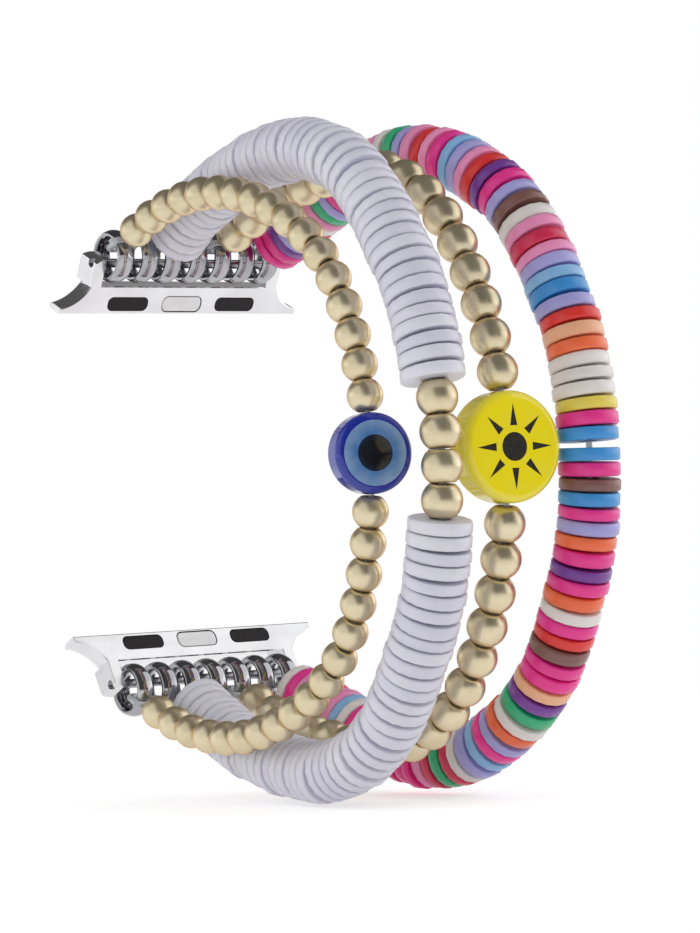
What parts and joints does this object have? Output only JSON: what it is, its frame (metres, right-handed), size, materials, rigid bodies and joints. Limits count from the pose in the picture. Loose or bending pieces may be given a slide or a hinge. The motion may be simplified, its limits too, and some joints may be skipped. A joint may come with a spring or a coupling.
{
  "type": "bead watch band",
  "caption": "Open watch band of beaded elastic strands held by rings between two hinged lug adapters with latch buttons, as a loop for the wrist.",
  "frame": {"origin": "middle of the wrist opening, half-way between the two adapters", "axes": "+X from the adapters towards the charms, +Y along the adapter rails towards the colour strand, +Z from the bottom adapter to the top adapter"},
  "size_m": [0.0545, 0.0284, 0.064],
  "materials": {
    "polished_adapter": "polished",
    "bar_steel": "polished",
    "ring_chrome": "mirror polished",
    "pad_rubber": "matt",
    "button_metal": "satin",
    "plate_steel": "satin",
    "spring_steel": "drawn wire",
    "clear_elastic": "clear",
    "gold_plate": "polished",
    "white_clay": "satin",
    "blue_clay": "satin",
    "brown_clay": "satin",
    "cream_clay": "satin",
    "crimson_clay": "satin",
    "green_clay": "satin",
    "hot_pink_clay": "satin",
    "lavender_clay": "satin",
    "orange_clay": "satin",
    "peach_clay": "satin",
    "pink_clay": "satin",
    "purple_clay": "satin",
    "red_clay": "satin",
    "sky_clay": "satin",
    "yellow_clay": "satin",
    "eye_blue_glass": "gloss",
    "eye_iris": "gloss",
    "eye_pupil": "gloss",
    "charm_acrylic": "gloss",
    "charm_ink": "printed"
  },
  "bodies": {
    "white_strand": {"cord_white": "clear_elastic", "rings_white": "ring_chrome", "white_discs_upper": "white_clay", "white_discs_lower": "white_clay", "middle_gold_beads": "gold_plate"},
    "near_gold_strand": {"cord_near_gold": "clear_elastic", "rings_near_gold": "ring_chrome", "near_gold_beads_upper": "gold_plate", "near_gold_beads_lower": "gold_plate"},
    "eye": {"eye_bead": "eye_blue_glass", "eye_irises": "eye_iris", "eye_pupils": "eye_pupil"},
    "far_gold_strand": {"cord_far_gold": "clear_elastic", "rings_far_gold": "ring_chrome", "far_gold_beads_upper": "gold_plate", "far_gold_beads_lower": "gold_plate"},
    "charm": {"charm_bead": "charm_acrylic", "charm_suns": "charm_ink"},
    "colour_strand": {"cord_colour": "clear_elastic", "rings_colour": "ring_chrome", "blue_discs": "blue_clay", "brown_discs": "brown_clay", "cream_discs": "cream_clay", "crimson_discs": "crimson_clay", "green_discs": "green_clay", "hot_pink_discs": "hot_pink_clay", "lavender_discs": "lavender_clay", "orange_discs": "orange_clay", "peach_discs": "peach_clay", "pink_discs": "pink_clay", "purple_discs": "purple_clay", "red_discs": "red_clay", "sky_discs": "sky_clay", "yellow_discs": "yellow_clay"},
    "top_adapter": {"top_adapter_body": "polished_adapter", "top_pads": "pad_rubber", "top_button_spring": "spring_steel", "top_back_plate": "plate_steel", "top_bar": "bar_steel"},
    "top_button": {"top_latch_button": "button_metal"},
    "top_spacer_near": {"top_spacer_ring_near": "ring_chrome"},
    "top_spacer_middle": {"top_spacer_ring_middle": "ring_chrome"},
    "top_spacer_far": {"top_spacer_ring_far": "ring_chrome"},
    "bottom_adapter": {"bottom_adapter_body": "polished_adapter", "bottom_pads": "pad_rubber", "bottom_button_spring": "spring_steel", "bottom_back_plate": "plate_steel", "bottom_bar": "bar_steel"},
    "bottom_button": {"bottom_latch_button": "button_metal"},
    "bottom_spacer_near": {"bottom_spacer_ring_near": "ring_chrome"},
    "bottom_spacer_middle": {"bottom_spacer_ring_middle": "ring_chrome"},
    "bottom_spacer_far": {"bottom_spacer_ring_far": "ring_chrome"}
  },
  "joints": [
    {"name": "near_gold_swing", "type": "hinge", "parent": "white_strand", "child": "near_gold_strand", "pos_m": [-0.02175, -0.00935, 0], "axis": [0, 0, 1], "range_deg": [-4, 0.3]},
    {"name": "eye_spin", "type": "hinge", "parent": "near_gold_strand", "child": "eye", "pos_m": [0.01791, -0.00893, 0], "axis": [0, 0, 1], "continuous": true},
    {"name": "far_gold_swing", "type": "hinge", "parent": "white_strand", "child": "far_gold_strand", "pos_m": [-0.02175, 0.00225, 0], "axis": [0, 0, 1], "range_deg": [-1.5, 0.2]},
    {"name": "charm_spin", "type": "hinge", "parent": "far_gold_strand", "child": "charm", "pos_m": [0.02431, 0.00136, 0], "axis": [0, 0, 1], "continuous": true},
    {"name": "colour_swing", "type": "hinge", "parent": "white_strand", "child": "colour_strand", "pos_m": [-0.02175, 0.00805, 0], "axis": [0, 0, 1], "range_deg": [0, 4]},
    {"name": "top_adapter_hinge", "type": "hinge", "parent": "white_strand", "child": "top_adapter", "pos_m": [-0.02204, -0.00065, 0.02065], "axis": [0, 1, 0], "range_deg": [-40, 60]},
    {"name": "top_button_press", "type": "slide", "parent": "top_adapter", "child": "top_button", "axis": [-0.891, 0, 0.454], "range_m": [0, 0.00045], "stiffness_N_per_m": 400},
    {"name": "top_spacer_near_swing", "type": "hinge", "parent": "top_adapter", "child": "top_spacer_near", "pos_m": [-0.02204, -0.00645, 0.02065], "axis": [0, 1, 0], "range_deg": [-60, 40]},
    {"name": "top_spacer_middle_swing", "type": "hinge", "parent": "top_adapter", "child": "top_spacer_middle", "pos_m": [-0.02204, -0.00065, 0.02065], "axis": [0, 1, 0], "range_deg": [-60, 40]},
    {"name": "top_spacer_far_swing", "type": "hinge", "parent": "top_adapter", "child": "top_spacer_far", "pos_m": [-0.02204, 0.00515, 0.02065], "axis": [0, 1, 0], "range_deg": [-60, 40]},
    {"name": "bottom_adapter_hinge", "type": "hinge", "parent": "white_strand", "child": "bottom_adapter", "pos_m": [-0.02204, -0.00065, -0.02065], "axis": [0, -1, 0], "range_deg": [-40, 60]},
    {"name": "bottom_button_press", "type": "slide", "parent": "bottom_adapter", "child": "bottom_button", "axis": [-0.891, 0, -0.454], "range_m": [0, 0.00045], "stiffness_N_per_m": 400},
    {"name": "bottom_spacer_near_swing", "type": "hinge", "parent": "bottom_adapter", "child": "bottom_spacer_near", "pos_m": [-0.02204, -0.00645, -0.02065], "axis": [0, -1, 0], "range_deg": [-60, 40]},
    {"name": "bottom_spacer_middle_swing", "type": "hinge", "parent": "bottom_adapter", "child": "bottom_spacer_middle", "pos_m": [-0.02204, -0.00065, -0.02065], "axis": [0, -1, 0], "range_deg": [-60, 40]},
    {"name": "bottom_spacer_far_swing", "type": "hinge", "parent": "bottom_adapter", "child": "bottom_spacer_far", "pos_m": [-0.02204, 0.00515, -0.02065], "axis": [0, -1, 0], "range_deg": [-60, 40]}
  ]
}
